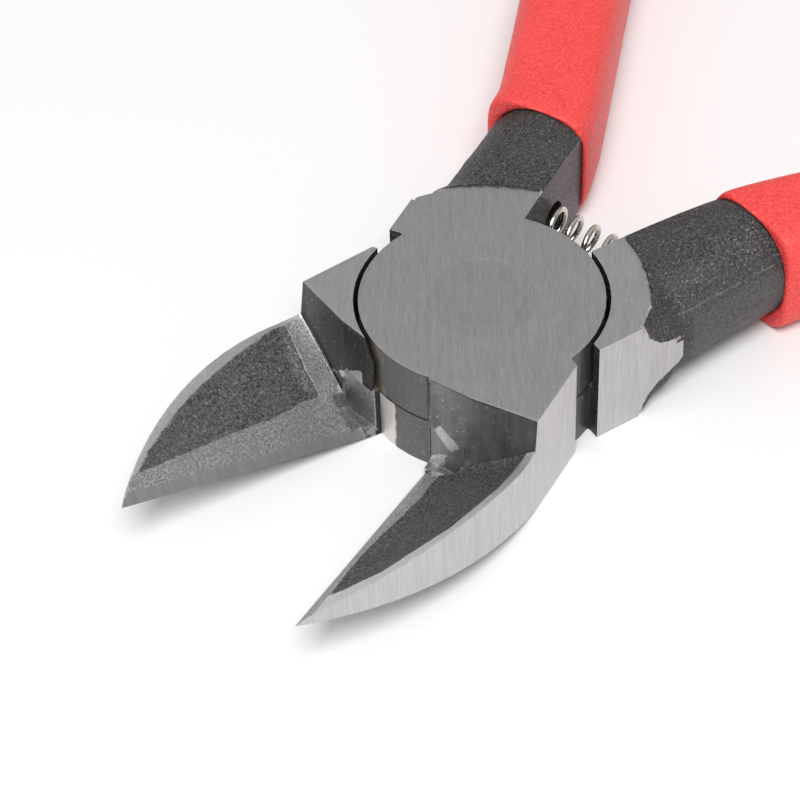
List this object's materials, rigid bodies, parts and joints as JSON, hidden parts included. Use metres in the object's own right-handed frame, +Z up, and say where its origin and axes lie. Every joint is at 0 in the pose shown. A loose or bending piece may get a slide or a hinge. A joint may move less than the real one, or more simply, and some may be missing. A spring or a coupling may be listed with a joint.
{
  "type": "sprue nippers",
  "caption": "Lap-joint diagonal nippers with bevelled flush-cutting jaws, a coil return spring and long dip-coated handles",
  "frame": {"origin": "on the pivot axis, at the underside plane that the tool lies on", "axes": "+X towards the jaw tips midway between the jaws, +Y towards the jaw of the upper half, +Z up along the pivot axis"},
  "size_m": [0.1494, 0.1124, 0.0109],
  "materials": {
    "forged_steel": "ground faces, sand-blasted black forging elsewhere",
    "rivet_steel": "ground flush",
    "spring_steel": "bright drawn wire",
    "grip_vinyl": "satin dipped vinyl, fine orange peel"
  },
  "bodies": {
    "lower": {"lower_half": "forged_steel", "lower_grip": "grip_vinyl", "pivot_rivet": "rivet_steel", "return_spring": "spring_steel"},
    "upper": {"upper_half": "forged_steel", "upper_grip": "grip_vinyl"}
  },
  "joints": [
    {"name": "pivot", "type": "hinge", "parent": "lower", "child": "upper", "pos_m": [0, 0, 0], "axis": [0, 0, 1], "range_deg": [-31.5, 12], "stiffness_Nm_per_rad": 0.15, "deforming": ["return_spring"]}
  ]
}
